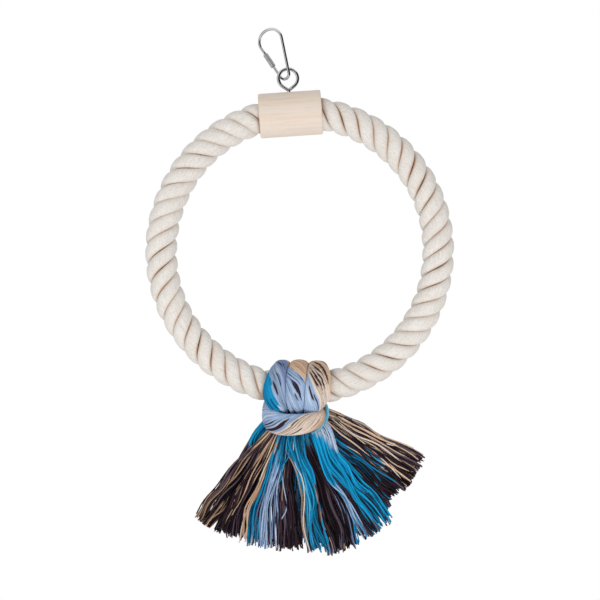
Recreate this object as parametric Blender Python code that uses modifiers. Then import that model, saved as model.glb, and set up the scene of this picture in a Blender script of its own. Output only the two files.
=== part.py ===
"""Ring bird swing: a ring of three-strand cotton rope whose ends meet in a turned wooden block, a screw
eye in the block, a pear-shaped wire link with a screw sleeve to hang it by, and a yarn tassel knotted
round the bottom of the ring. Metres, +Z up, X across the ring, -Y the front. The origin is the inside of
the link's top bend, where the bar that carries the swing passes."""

import math

import bmesh
import bpy
import numpy as np
from mathutils import Euler, Vector

FIT_GAP = 0.0003  # between pieces that touch or fit into each other

# Rope ring
RING_RADIUS = 0.0900  # middle of the ring to the middle of the rope
ROPE_DIAMETER = 0.0205  # over the crowns of the strands
ROPE_LAY = 0.0340  # length of rope in which a strand goes once round
STRAND_COUNT = 3
STRAND_PHASE = math.radians(20.0)  # where round the rope the first strand starts
CORE_DIAMETER = 0.0030  # wire that keeps the ring round

# Wooden block
BLOCK_LENGTH = 0.0406
BLOCK_DIAMETER = 0.0288
BLOCK_WEB = 0.0120  # wood left between the two rope sockets
BLOCK_EDGE = 0.0006  # rounding of the end edges

# Screw eye
EYE_WIRE = 0.0023
EYE_RADIUS = 0.00625  # middle of the loop to the middle of its wire
EYE_THROAT = 0.0077  # middle of the loop down to where its sides meet
EYE_STAND = 0.0088  # middle of the loop above the top of the block
SHANK_DEPTH = 0.0140  # shank inside the wood

# Wire link
HOOK_WIRE = 0.0019
HOOK_SPAN = 0.0236  # between the middles of the top bend and the bottom bend
HOOK_TOP_RISE = 0.0073  # height of the top bend, to the middle of the wire
HOOK_BEND_DROP = 0.0029  # depth of the bottom bend, to the middle of the wire
HOOK_BREADTH = 1.25  # how much wider than round the two bends are
HOOK_LEAN = math.radians(18.7)  # top of the link leans towards -X
HOOK_OPENING = 0.0026  # gap in the wire that the sleeve closes
HOOK_SLANT = 1.25  # extra room for legs that cross the eye's wire at a slant
EYE_ASIDE = 0.0012  # middle of the eye beside the lowest point of the link

# Screw sleeve on the link
SLEEVE_DIAMETER = 0.0034
SLEEVE_LENGTH = 0.0100
SLEEVE_START = 0.0049  # upper end of the straight leg to the upper end of the sleeve
SLEEVE_GRIP = 0.0012  # wire held by the upper end of the sleeve
SLEEVE_EDGE = 0.0003

# Knot round the bottom of the ring
KNOT_ANGLE = math.radians(4.8)  # knot sits this far towards -X from the bottom of the ring
WRAP_WIDTHS = (0.0150, 0.0122, 0.0148)  # left, middle and right turn, along the rope
WRAP_SHIFT = -0.0008  # middle of the three turns along the rope
WRAP_THICKNESS = 0.0088
WRAP_END = math.radians(140.0)  # turns end this far round from their tops, front and back
BAND_THICKNESS = 0.0064
BAND_HEIGHT = 0.0145
BAND_HALF_WIDTH = 0.0205  # outside
BAND_SHIFT = -0.0018  # middle of the band along the rope
BAND_RISE = 0.0050  # ends of the band above its middle
BAND_END = math.radians(95.0)  # ends of the band, round from the front

# Tassel
LOCK_DEPTH_ROOT = 0.0023  # half the thickness of one layer of locks
LOCK_DEPTH_TIP = 0.0048
LOCK_ROOT_CLOSING = 0.78  # angle between the locks at the neck, as a share of that at the tips
LOCK_SECTIONS = (0.0, 0.12, 0.4, 0.7, 1.0)  # sections of a lock, as shares of its length
LOCK_FULL_DEPTH = 0.4  # share of its length at which a lock is at its thickest
FAN_REACH = 0.1050  # middle of the rope to where the locks have their full angles
SIDE_LOCK_CLEAR = 0.0135  # start of the side locks, further out than the half width of the band

# How finely the round shapes are drawn
TOP_BEND_POINTS = 21
LOW_BEND_POINTS = 15
EYE_POINTS = 25
SLEEVE_STEPS = 20
BLOCK_SEGMENTS = 48
SOCKET_SEGMENTS = 40
PILOT_SEGMENTS = 16
STRAND_POINTS_PER_TURN = 9
CORE_POINTS = 49
CORE_SIDES = 6
WRAP_POINTS = 19
BAND_POINTS = 17
YARN_SIDES = 12
NECK_SEGMENTS = 16
NECK_RINGS = 10
SHARP_ANGLE = math.radians(35.0)  # edges sharper than this stay crisp

# Each lock: name, layer, colour, first and last angle across the fan in degrees, length from the rope
LOCKS = (
    ("lock_tan_left", "front", "tan", -38.0, -25.0, 0.1050),
    ("lock_brown_left", "front", "brown", -25.0, -15.0, 0.1050),
    ("lock_blue_left", "front", "blue", -15.0, -5.0, 0.1040),
    ("lock_brown_middle", "front", "brown", -5.0, 3.0, 0.1045),
    ("lock_teal_middle", "front", "teal", 3.0, 12.0, 0.1070),
    ("lock_brown_right", "front", "brown", 12.0, 24.0, 0.1100),
    ("lock_teal_right", "front", "teal", 24.0, 38.0, 0.1060),
    ("back_lock_teal_left", "back", "teal", -36.0, -20.0, 0.1040),
    ("back_lock_brown_left", "back", "brown", -20.0, -5.0, 0.1045),
    ("back_lock_teal_middle", "back", "teal", -5.0, 10.0, 0.1050),
    ("back_lock_brown_right", "back", "brown", 10.0, 24.0, 0.1080),
    ("back_lock_blue_right", "back", "blue", 24.0, 38.0, 0.1060),
    ("side_lock_brown", "side", "brown", 38.0, 51.0, 0.0955),
    ("side_lock_tan", "side", "tan", 51.0, 64.0, 0.0975),
)

COLOURS = {
    "cotton": ((0.76, 0.71, 0.65), 0.85, 0.0),
    "wood": ((0.80, 0.69, 0.57), 0.60, 0.0),
    "nickel": ((0.62, 0.61, 0.60), 0.22, 1.0),
    "wire": ((0.45, 0.45, 0.46), 0.40, 1.0),
    "teal": ((0.012, 0.23, 0.42), 0.70, 0.0),
    "blue": ((0.34, 0.47, 0.68), 0.70, 0.0),
    "tan": ((0.56, 0.38, 0.25), 0.70, 0.0),
    "brown": ((0.045, 0.031, 0.036), 0.70, 0.0),
}

# Places that follow from the sizes above
ROPE_RADIUS = ROPE_DIAMETER / 2
HOOK_TOP_CENTRE = -(HOOK_TOP_RISE - HOOK_WIRE / 2)  # along the link, down from its hanging point
HOOK_BEND_CENTRE = HOOK_TOP_CENTRE - HOOK_SPAN
HOOK_TAPER = math.asin((HOOK_TOP_RISE - HOOK_BEND_DROP) / HOOK_SPAN)  # legs against the long axis
HOOK_LOW = HOOK_SPAN + HOOK_BEND_DROP - HOOK_TOP_CENTRE
EYE_CENTRE = Vector((HOOK_LOW * math.sin(HOOK_LEAN) + EYE_ASIDE, 0.0, -HOOK_LOW * math.cos(HOOK_LEAN)))
BLOCK_CENTRE = EYE_CENTRE - Vector((0.0, 0.0, EYE_STAND + BLOCK_DIAMETER / 2))


def ring_drop(across):
    """Height of the ring's top above its centre line at a distance across from the middle."""
    return RING_RADIUS - math.sqrt(RING_RADIUS**2 - across**2)


SOCKET_MIDDLE = ring_drop((BLOCK_WEB + BLOCK_LENGTH) / 4)
SOCKET_MOUTH = ring_drop(BLOCK_LENGTH / 2)
MOUTH_SLOPE = math.asin(BLOCK_LENGTH / 2 / RING_RADIUS)
SOCKET_RADIUS = ROPE_RADIUS / math.cos(MOUTH_SLOPE) + SOCKET_MOUTH - SOCKET_MIDDLE + FIT_GAP
RING_CENTRE = BLOCK_CENTRE + Vector((0.0, 0.0, SOCKET_MIDDLE - RING_RADIUS))

WRAP_PATH = ROPE_RADIUS + FIT_GAP + WRAP_THICKNESS / 2  # middle of a turn from the middle of the rope
WRAP_OUTSIDE = WRAP_PATH + WRAP_THICKNESS / 2
BAND_FRONT = WRAP_OUTSIDE * math.sin(WRAP_END)  # middle of the band in front of the rope
BAND_LEVEL = WRAP_OUTSIDE * math.cos(WRAP_END) - FIT_GAP - BAND_HEIGHT / 2  # below the rope
NECK_DEPTH = -BAND_LEVEL  # middle of the tassel's neck below the rope
NECK_RADIUS = BAND_FRONT - BAND_THICKNESS / 2 - FIT_GAP
NECK_HALF_LENGTH = BAND_HALF_WIDTH - BAND_THICKNESS - FIT_GAP


def clear_scene():
    for obj in list(bpy.data.objects):
        bpy.data.objects.remove(obj)


def make_materials():
    materials = {}
    for name, (colour, roughness, metallic) in COLOURS.items():
        material = bpy.data.materials.new(name)
        material.use_nodes = True
        shader = material.node_tree.nodes["Principled BSDF"]
        shader.inputs["Base Color"].default_value = (*colour, 1.0)
        shader.inputs["Roughness"].default_value = roughness
        shader.inputs["Metallic"].default_value = metallic
        materials[name] = material
    return materials


def make_collection(name):
    collection = bpy.data.collections.new(name)
    bpy.context.scene.collection.children.link(collection)
    return collection


def make_empty(name, place, turn=(0.0, 0.0, 0.0), order="XYZ"):
    empty = bpy.data.objects.new(name, None)
    empty.location = place
    empty.rotation_mode = order
    empty.rotation_euler = turn
    PARTS.objects.link(empty)
    return empty


def add_object(name, data, material, parent=None, collection=None):
    obj = bpy.data.objects.new(name, data)
    if material:
        data.materials.append(MATERIALS[material])
    obj.parent = parent
    (collection or PARTS).objects.link(obj)
    return obj


def make_cutter(name, data, parent):
    cutter = add_object(name, data, None, parent, CUTTERS)
    cutter.hide_render = True
    cutter.display_type = "WIRE"
    return cutter


def tube(name, points, radius, material, parent=None, sides=8):
    """A round bar along a row of points, with flat ends."""
    curve = bpy.data.curves.new(name, "CURVE")
    curve.dimensions = "3D"
    curve.bevel_depth = radius
    curve.bevel_resolution = sides // 2 - 2
    curve.use_fill_caps = True
    spline = curve.splines.new("POLY")
    spline.points.add(len(points) - 1)
    for point, place in zip(spline.points, points):
        point.co = (*place, 1.0)
        point.radius = 1.0
    spline.use_smooth = True
    return add_object(name, curve, material, parent)


def mesh_from(name, shape):
    """A mesh from the bmesh that the function shape fills."""
    mesh = bpy.data.meshes.new(name)
    cage = bmesh.new()
    shape(cage)
    cage.to_mesh(mesh)
    cage.free()
    mesh.shade_smooth()
    mesh.set_sharp_from_angle(angle=SHARP_ANGLE)
    return mesh


def cylinder_mesh(name, radius, length, segments):
    def shape(cage):
        bmesh.ops.create_cone(
            cage, cap_ends=True, segments=segments, radius1=radius, radius2=radius, depth=length
        )

    return mesh_from(name, shape)


def arc(rise, centre, first, last, steps):
    """Points on one bend of the link, in the link's own plane, from one angle to another."""
    angles = np.linspace(first, last, steps)
    return [(HOOK_BREADTH * rise * math.cos(a), 0.0, centre + rise * math.sin(a)) for a in angles]


def left_leg():
    """Upper end of the link's straight left leg, and its direction downwards."""
    upper = Vector(arc(HOOK_TOP_RISE, HOOK_TOP_CENTRE, math.pi + HOOK_TAPER, math.pi, 2)[0])
    lower = Vector(arc(HOOK_BEND_DROP, HOOK_BEND_CENTRE, math.pi + HOOK_TAPER, math.pi, 2)[0])
    return upper, (lower - upper).normalized()


def hook_turn():
    """Turn of the link about its long axis that takes both legs clear of the eye's wire."""
    leg_half = (HOOK_BEND_DROP + EYE_RADIUS * math.tan(HOOK_TAPER)) * HOOK_BREADTH
    crossing = (HOOK_WIRE + EYE_WIRE) / 2 + FIT_GAP
    return math.asin(crossing * HOOK_SLANT / leg_half)


def make_hook():
    frame = make_empty("hook_frame", (0.0, 0.0, 0.0), (0.0, -HOOK_LEAN, -hook_turn()), "ZYX")
    leg_top, leg_run = left_leg()
    upper_end = SLEEVE_START + SLEEVE_GRIP
    lower_end = upper_end + HOOK_OPENING
    top_turn = (math.pi + HOOK_TAPER, -HOOK_TAPER)
    low_turn = (-HOOK_TAPER, HOOK_TAPER - math.pi)
    points = [leg_top + leg_run * upper_end]
    points += arc(HOOK_TOP_RISE, HOOK_TOP_CENTRE, *top_turn, TOP_BEND_POINTS)
    points += arc(HOOK_BEND_DROP, HOOK_BEND_CENTRE, *low_turn, LOW_BEND_POINTS)
    points.append(leg_top + leg_run * lower_end)
    tube("hook_wire", points, HOOK_WIRE / 2, "nickel", frame)
    make_sleeve(frame, leg_top + leg_run * SLEEVE_START, leg_run)


def make_sleeve(frame, top, run):
    """The screw sleeve, turned about its own axis, with its upper end at the top point."""
    outer = SLEEVE_DIAMETER / 2
    bore = HOOK_WIRE / 2 + FIT_GAP
    profile = [
        (bore, 0.0),
        (outer - SLEEVE_EDGE, 0.0),
        (outer, -SLEEVE_EDGE),
        (outer, SLEEVE_EDGE - SLEEVE_LENGTH),
        (outer - SLEEVE_EDGE, -SLEEVE_LENGTH),
        (bore, -SLEEVE_LENGTH),
    ]
    mesh = bpy.data.meshes.new("hook_sleeve")
    edges = [(i, (i + 1) % len(profile)) for i in range(len(profile))]
    mesh.from_pydata([(x, 0.0, z) for x, z in profile], edges, [])
    sleeve = add_object("hook_sleeve", mesh, "nickel", frame)
    sleeve.location = top
    sleeve.rotation_mode = "QUATERNION"
    sleeve.rotation_quaternion = (-run).to_track_quat("Z", "Y")
    turn = sleeve.modifiers.new("turn", "SCREW")
    turn.steps = SLEEVE_STEPS
    turn.render_steps = SLEEVE_STEPS
    turn.use_merge_vertices = True
    turn.merge_threshold = FIT_GAP / 30


def make_screw_eye():
    """Shank, left side, round the loop over the top, and the right side back to the shank."""
    side = math.acos(EYE_RADIUS / EYE_THROAT)  # where the straight sides leave the round
    down = -math.pi / 2
    loop = np.linspace(down - side, down + side - 2 * math.pi, EYE_POINTS)
    throat = Vector((0.0, 0.0, -EYE_THROAT))
    points = [Vector((0.0, 0.0, -EYE_STAND - SHANK_DEPTH)), throat]
    points += [Vector((EYE_RADIUS * math.cos(a), 0.0, EYE_RADIUS * math.sin(a))) for a in loop]
    closing = (throat - points[-1]).normalized()
    clear = (EYE_WIRE + FIT_GAP) / math.sin(2 * side)  # end of the wire against the shank's side
    points.append(throat - closing * clear)
    eye = tube("screw_eye", points, EYE_WIRE / 2, "nickel")
    eye.location = EYE_CENTRE


def make_block():
    """Turned block with a socket for each rope end and a pilot hole for the screw eye."""
    bar = cylinder_mesh("wood_block", BLOCK_DIAMETER / 2, BLOCK_LENGTH, BLOCK_SEGMENTS)
    block = add_object("wood_block", bar, "wood")
    block.location = BLOCK_CENTRE
    block.rotation_euler = (0.0, math.pi / 2, 0.0)
    edge = block.modifiers.new("eased_edges", "BEVEL")
    edge.width = BLOCK_EDGE
    edge.segments = 2
    depth = (BLOCK_LENGTH - BLOCK_WEB) / 2
    past = BLOCK_EDGE * 2  # cutters run this far out of the wood
    for name, side in (("left_socket", -1), ("right_socket", 1)):
        bore = make_cutter(name, cylinder_mesh(name, SOCKET_RADIUS, depth + past, SOCKET_SEGMENTS), block)
        bore.location = (0.0, 0.0, side * (BLOCK_WEB + depth + past) / 2)
        cut(block, bore)
    hole_depth = SHANK_DEPTH + FIT_GAP + past
    drill = cylinder_mesh("pilot_hole", EYE_WIRE / 2 + FIT_GAP, hole_depth, PILOT_SEGMENTS)
    hole = make_cutter("pilot_hole", drill, None)
    hole.location = BLOCK_CENTRE + Vector((0.0, 0.0, BLOCK_DIAMETER / 2 + past - hole_depth / 2))
    cut(block, hole)


def cut(obj, cutter):
    boolean = obj.modifiers.new(cutter.name, "BOOLEAN")
    boolean.operation = "DIFFERENCE"
    boolean.object = cutter


def strand_spacing(helix_radius):
    """Least distance between the middles of neighbouring strands, on the tight inner side of the ring."""
    lay = ROPE_LAY * (1 - helix_radius / RING_RADIUS)
    along = np.linspace(0.0, lay / STRAND_COUNT, 200)
    angle = 2 * math.pi * (1 / STRAND_COUNT - along / lay)
    return float(np.sqrt(2 * helix_radius**2 * (1 - np.cos(angle)) + along**2).min())


def strand_sizes():
    """Helix radius and strand radius that fill the rope with touching strands."""
    helix = ROPE_RADIUS / 2
    for _ in range(40):
        strand = (strand_spacing(helix) - FIT_GAP) / 2
        helix = (helix + ROPE_RADIUS - strand) / 2
    return helix, ROPE_RADIUS - helix


def make_rope():
    """Strands wound round the ring's centre line, right-handed, from one socket to the other."""
    helix, strand = strand_sizes()
    pitch_angle = math.atan(2 * math.pi * helix / ROPE_LAY)
    clear_of_web = BLOCK_WEB / 2 + strand * math.sin(pitch_angle) + FIT_GAP
    start = math.asin(clear_of_web / (RING_RADIUS - helix))
    finish = 2 * math.pi - start
    turns = RING_RADIUS * (finish - start) / ROPE_LAY
    angles = np.linspace(start, finish, round(turns * STRAND_POINTS_PER_TURN))
    turned = (angles - start) * RING_RADIUS / ROPE_LAY
    for number in range(STRAND_COUNT):
        phase = STRAND_PHASE + 2 * math.pi * (number / STRAND_COUNT + turned)
        out = RING_RADIUS + helix * np.cos(phase)
        points = np.column_stack([out * np.sin(angles), -helix * np.sin(phase), out * np.cos(angles)])
        rope = tube(f"rope_strand_{number + 1}", points, strand, "cotton")
        rope.location = RING_CENTRE
    angles = np.linspace(start, finish, CORE_POINTS)
    points = np.column_stack([RING_RADIUS * np.sin(angles), 0 * angles, RING_RADIUS * np.cos(angles)])
    core = tube("ring_core_wire", points, CORE_DIAMETER / 2, "wire", sides=CORE_SIDES)
    core.location = RING_CENTRE


def make_knot():
    """Three turns over the rope and the band that crosses in front of them, in the knot's own frame."""
    middle = RING_CENTRE - RING_RADIUS * Vector((math.sin(KNOT_ANGLE), 0.0, math.cos(KNOT_ANGLE)))
    frame = make_empty("knot_frame", middle, (0.0, KNOT_ANGLE, 0.0))
    along = WRAP_SHIFT - (sum(WRAP_WIDTHS) + FIT_GAP * 2) / 2
    for side, width, colour in zip(("left", "middle", "right"), WRAP_WIDTHS, ("blue", "tan", "tan")):
        angles = np.linspace(-WRAP_END, WRAP_END, WRAP_POINTS)
        points = [(0.0, WRAP_PATH * math.sin(a), WRAP_PATH * math.cos(a)) for a in angles]
        wrap = tube(f"knot_wrap_{side}", points, WRAP_THICKNESS / 2, colour, frame, YARN_SIDES)
        across = along + width / 2
        wrap.location = (across, 0.0, ring_drop(across))
        wrap.scale.x = width / WRAP_THICKNESS
        along += width + FIT_GAP
    flat = BAND_HEIGHT / BAND_THICKNESS
    reach = BAND_HALF_WIDTH - BAND_THICKNESS / 2
    angles = np.linspace(-BAND_END, BAND_END, BAND_POINTS)
    rise = BAND_RISE * (1 - np.cos(angles)) / flat
    points = np.column_stack([reach * np.sin(angles), -BAND_FRONT * np.cos(angles), rise])
    band = tube("knot_band", points, BAND_THICKNESS / 2, "tan", frame, YARN_SIDES)
    band.location = (BAND_SHIFT, 0.0, BAND_LEVEL)
    band.scale.z = flat
    return middle


def make_tassel(rope_middle):
    """Neck held in the band, and the locks that fan out from it, hinged at the neck's middle."""
    turn = Euler((0.0, KNOT_ANGLE, 0.0))
    hinge = rope_middle + turn.to_matrix() @ Vector((BAND_SHIFT, 0.0, BAND_LEVEL))
    frame = make_empty("tassel_frame", hinge, turn)

    def ball(cage):
        bmesh.ops.create_uvsphere(
            cage, u_segments=NECK_SEGMENTS, v_segments=NECK_RINGS, radius=NECK_RADIUS
        )

    neck = add_object("tassel_neck", mesh_from("tassel_neck", ball), "teal", frame)
    neck.rotation_euler = (0.0, math.pi / 2, 0.0)
    neck.scale.z = NECK_HALF_LENGTH / NECK_RADIUS
    for name, layer, colour, first, last, length in LOCKS:
        lock = add_object(name, lock_mesh(name, layer, first, last, length), colour, frame)
        lock.location.z = NECK_DEPTH


def lock_start(angle):
    """Distance from the rope, along an angle, to the far side of the neck."""
    across = math.sin(angle) / NECK_HALF_LENGTH
    down = math.cos(angle) / NECK_RADIUS
    depth = NECK_DEPTH / NECK_RADIUS
    square = across**2 + down**2
    inside = (down * depth) ** 2 - square * (depth**2 - 1)
    if inside < 0:
        return NECK_DEPTH * math.cos(angle) + NECK_RADIUS
    return (down * depth + math.sqrt(inside)) / square


def fan_closing(reach):
    """Share of its full angle that the fan has opened to, at a distance from the rope."""
    neck_end = NECK_DEPTH + NECK_RADIUS
    opened = (reach - neck_end) / (FAN_REACH - neck_end)
    return LOCK_ROOT_CLOSING + (1 - LOCK_ROOT_CLOSING) * opened


def lock_mesh(name, layer, first, last, length):
    """A lock of yarn: oval sections that widen from the neck to the cut ends, within its own angles."""
    first, last = math.radians(first), math.radians(last)
    edges = LOCK_ROOT_CLOSING * np.array([first, (first + last) / 2, last])
    root = max(lock_start(angle) for angle in edges) + FIT_GAP
    if layer == "front":
        root = max(root, (NECK_DEPTH + BAND_HEIGHT / 2 + FIT_GAP) / math.cos(max(abs(edges))))
    elif layer == "side":
        root = BAND_HALF_WIDTH + SIDE_LOCK_CLEAR
    round_angles = np.arange(YARN_SIDES) * 2 * math.pi / YARN_SIDES
    sections = []
    for share in LOCK_SECTIONS:
        reach = root + (length - root) * share
        closing = fan_closing(reach)
        angle = closing * (first + last) / 2
        half_width = reach * math.tan(closing * (last - first) / 2) - FIT_GAP / 2
        filled = min(1.0, share / LOCK_FULL_DEPTH)
        depth = LOCK_DEPTH_ROOT + (LOCK_DEPTH_TIP - LOCK_DEPTH_ROOT) * filled
        offset = (depth + FIT_GAP / 2) * (-1 if layer == "front" else 1)
        across = half_width * np.cos(round_angles)
        x = reach * math.sin(angle) + across * math.cos(angle)
        z = -reach * math.cos(angle) + across * math.sin(angle)
        sections.append(np.column_stack([x, offset + depth * np.sin(round_angles), z]))

    def loft(cage):
        rings = [[cage.verts.new(point) for point in section] for section in sections]
        for upper, lower in zip(rings, rings[1:]):
            for i in range(YARN_SIDES):
                j = (i + 1) % YARN_SIDES
                cage.faces.new((upper[i], upper[j], lower[j], lower[i]))
        cage.faces.new(rings[0])
        cage.faces.new(rings[-1])
        bmesh.ops.recalc_face_normals(cage, faces=cage.faces)

    return mesh_from(name, loft)


clear_scene()
PARTS = make_collection("ring_bird_swing")
CUTTERS = make_collection("cutters")
MATERIALS = make_materials()
make_hook()
make_screw_eye()
make_block()
make_rope()
make_tassel(make_knot())
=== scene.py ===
from itertools import product
from math import acos, asin, cos, pi, radians, sin
import bpy
import numpy as np
from mathutils import Matrix, Vector


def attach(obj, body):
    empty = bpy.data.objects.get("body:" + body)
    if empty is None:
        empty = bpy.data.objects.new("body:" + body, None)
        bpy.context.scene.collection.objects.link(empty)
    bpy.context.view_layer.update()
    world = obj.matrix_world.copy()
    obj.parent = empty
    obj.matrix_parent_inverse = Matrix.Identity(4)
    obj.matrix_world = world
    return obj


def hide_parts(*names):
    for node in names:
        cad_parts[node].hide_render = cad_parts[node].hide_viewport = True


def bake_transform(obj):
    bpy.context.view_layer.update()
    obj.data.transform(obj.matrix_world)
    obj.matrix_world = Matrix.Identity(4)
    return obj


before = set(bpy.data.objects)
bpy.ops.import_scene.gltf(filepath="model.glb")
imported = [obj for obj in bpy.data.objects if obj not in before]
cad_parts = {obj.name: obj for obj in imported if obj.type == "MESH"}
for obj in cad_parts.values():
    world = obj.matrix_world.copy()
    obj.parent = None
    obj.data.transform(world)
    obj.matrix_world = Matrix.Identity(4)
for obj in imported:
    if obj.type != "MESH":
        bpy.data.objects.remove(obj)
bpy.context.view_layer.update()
scene = bpy.context.scene
scene.view_settings.view_transform = "Standard"
draw = np.random.default_rng(23)
mm = 0.001
axisX, axisY = np.array([1.0, 0.0, 0.0]), np.array([0.0, 1.0, 0.0])
fullTurn = 6.28
print("frame loaded:", len(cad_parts), "nodes")


# Shared shapes

# each vector divided by its length
def unit(vectors):
    return vectors / np.maximum(np.linalg.norm(vectors, axis=-1, keepdims=True), 1e-9)


# rises from 0 to 1 with level ends: 3 s^2 - 2 s^3
def ease(share):
    share = np.clip(share, 0, 1)
    return share * share * (3 - 2 * share)


# smooth curve through a row of values: cubic pieces, each slope the mean of the steps beside it
def through(values, share):
    values = np.asarray(values, float)
    slopes = np.gradient(values, axis=0)
    place = np.clip(share, 0, 1) * (len(values) - 1)
    low = np.minimum(place.astype(int), len(values) - 2)
    part = place - low
    if values.ndim > 1:
        part = part[..., None]
    rest = 1 - part
    ends = values[low] * (1 + 2 * part) * rest**2 + values[low + 1] * (1 + 2 * rest) * part**2
    return ends + slopes[low] * part * rest**2 - slopes[low + 1] * rest * part**2


# distance along each path, from the sum of its steps
def lengthAlong(paths):
    steps = np.linalg.norm(np.diff(paths, axis=-2), axis=-1)
    return np.concatenate([np.zeros_like(steps[..., :1]), np.cumsum(steps, axis=-1)], axis=-1)


def newObject(name, data):
    made = bpy.data.objects.new(name, data)
    scene.collection.objects.link(made)
    return made


# bars (bar, station, round, 3) are closed round, and closed along or capped at both ends; uv has one more
# column, and one more row where they are closed along
def barMesh(name, bars, uv, closedAlong=False, **attributes):
    count, stations, sides = bars.shape[:3]
    index = np.arange(count * stations * sides).reshape(count, stations, sides)
    rows = np.concatenate([index, index[:, :1]], axis=1) if closedAlong else index
    beside = np.roll(rows, -1, axis=2)
    quads = np.stack([rows[:, :-1], beside[:, :-1], beside[:, 1:], rows[:, 1:]], axis=-1).reshape(-1, 4)
    corners = [uv[:, :-1, :-1], uv[:, :-1, 1:], uv[:, 1:, 1:], uv[:, 1:, :-1]]
    flatUv = [np.stack(corners, axis=3).reshape(-1, 2)]
    faces = quads.tolist()
    if not closedAlong:
        faces += index[:, 0, ::-1].tolist() + index[:, -1].tolist()
        flatUv += [uv[:, 0, :-1][:, ::-1].reshape(-1, 2), uv[:, -1, :-1].reshape(-1, 2)]
    mesh = bpy.data.meshes.new(name)
    mesh.from_pydata(bars.reshape(-1, 3).tolist(), [], faces)
    layer = mesh.uv_layers.new(name="UVMap")
    layer.data.foreach_set("uv", np.concatenate(flatUv).astype(np.float32).ravel())
    for key, values in attributes.items():
        if values.shape[-1] == 3:
            full = np.concatenate([values, np.ones_like(values[..., :1])], axis=-1)
            attribute = mesh.color_attributes.new(key, "FLOAT_COLOR", "POINT")
            attribute.data.foreach_set("color", full.astype(np.float32).ravel())
        else:
            attribute = mesh.attributes.new(key, "FLOAT", "POINT")
            attribute.data.foreach_set("value", values.astype(np.float32).ravel())
    mesh.polygons.foreach_set("use_smooth", np.ones(len(faces), bool))
    return newObject(name, mesh)


# round bars along paths (bar, station, 3): a ring of points square to the path at each station
def roundBars(paths, radii, sides, reference):
    along = unit(np.gradient(paths, axis=1))
    first = unit(np.cross(reference, along))
    second = np.cross(along, first)
    turn = 2 * pi * np.arange(sides) / sides
    ring = np.cos(turn)[:, None] * first[:, :, None] + np.sin(turn)[:, None] * second[:, :, None]
    return paths[:, :, None] + radii[:, :, None, None] * ring


# once round is 0 to 1 across, and the distance along is in metres
def barUv(paths, sides):
    along = lengthAlong(paths)[..., None] + np.zeros(sides + 1)
    across = np.linspace(0, 1, sides + 1) + np.zeros_like(along)
    return np.stack([across, along], axis=-1)


# profile of (x along the axis, radius) turned about the X axis; a closed one has one more row of uv
def turned(profile, segments, closed):
    angle = 2 * pi * np.arange(segments) / segments
    x, radius = np.asarray(profile, float).T
    grid = np.stack([
        x[:, None] + 0 * angle,
        radius[:, None] * np.cos(angle),
        radius[:, None] * np.sin(angle),
    ], axis=-1)[None]
    across = np.linspace(0, 1, segments + 1)
    along = lengthAlong(np.stack([x, radius], axis=-1))
    if closed:
        along = np.append(along, along[-1])
    uv = np.stack(np.broadcast_arrays(across[None, None], along[None, :, None]), axis=-1)
    return grid, uv


# Materials

# each input takes a constant or another node's output
def fill(tree, node, inputs):
    for key, value in inputs.items():
        if isinstance(value, bpy.types.NodeSocket):
            tree.links.new(value, node.inputs[key])
        else:
            node.inputs[key].default_value = value
    return node


def add(tree, kind, **inputs):
    return fill(tree, tree.nodes.new("ShaderNode" + kind), inputs)


# a value that the mesh carries at each point
def carried(tree, name, output):
    made = add(tree, "Attribute")
    made.attribute_name = name
    return made.outputs[output]


def sums(tree, operation, first, second=0.0):
    made = add(tree, "Math")
    made.operation = operation
    return fill(tree, made, {0: first, 1: second}).outputs[0]


# noise read on coordinates stretched by a scale for each axis
def streaks(tree, coordinates, scale, detail, roughness=0.55, location=(0, 0, 0)):
    mapped = add(tree, "Mapping", Vector=coordinates, Scale=scale, Location=location)
    noise = add(tree, "TexNoise", Vector=mapped.outputs[0], Scale=1.0, Detail=detail, Roughness=roughness)
    return noise.outputs["Fac"]


# low to high becomes bottom to top, held at both ends
def spread(tree, value, low, high, bottom=0.0, top=1.0):
    ends = {"From Min": low, "From Max": high, "To Min": bottom, "To Max": top}
    return fill(tree, add(tree, "MapRange", Value=value), ends).outputs[0]


# first * (1 - share) + second * share
def mixed(tree, share, first, second):
    return fill(tree, add(tree, "MixRGB"), {0: share, 1: first, 2: second}).outputs[0]


def newMaterial(name, roughness, metallic=0.0):
    material = bpy.data.materials.new(name)
    material.use_nodes = True
    tree = material.node_tree
    shader = fill(tree, tree.nodes["Principled BSDF"], {"Roughness": roughness, "Metallic": metallic})
    return material, tree, shader


def bumped(tree, shader, height, distance, strength):
    bump = add(tree, "Bump", Height=height, Distance=distance, Strength=strength)
    fill(tree, shader, {"Normal": bump.outputs[0]})


cottonLook = dict(
    light=(0.86, 0.83, 0.79, 1),
    shade=(0.69, 0.63, 0.565, 1),
    # painted warm shade and bounce light, beside the grooves and where the rope meets the block and the knot
    warm=(0.62, 0.44, 0.3, 1),
    # painted brown shade in the grooves and where the rope meets the block and the knot
    groove=(0.44, 0.235, 0.125, 1),
    fibre=(1 / 0.0009, 1 / 0.012, 1),  # fibres lie along the rope
    nub=(950, 950, 950),
    cloud=(90, 90, 90),
    fibreShare=0.55,
    sheen=0.15,
    relief=0.0003,
)
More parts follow.
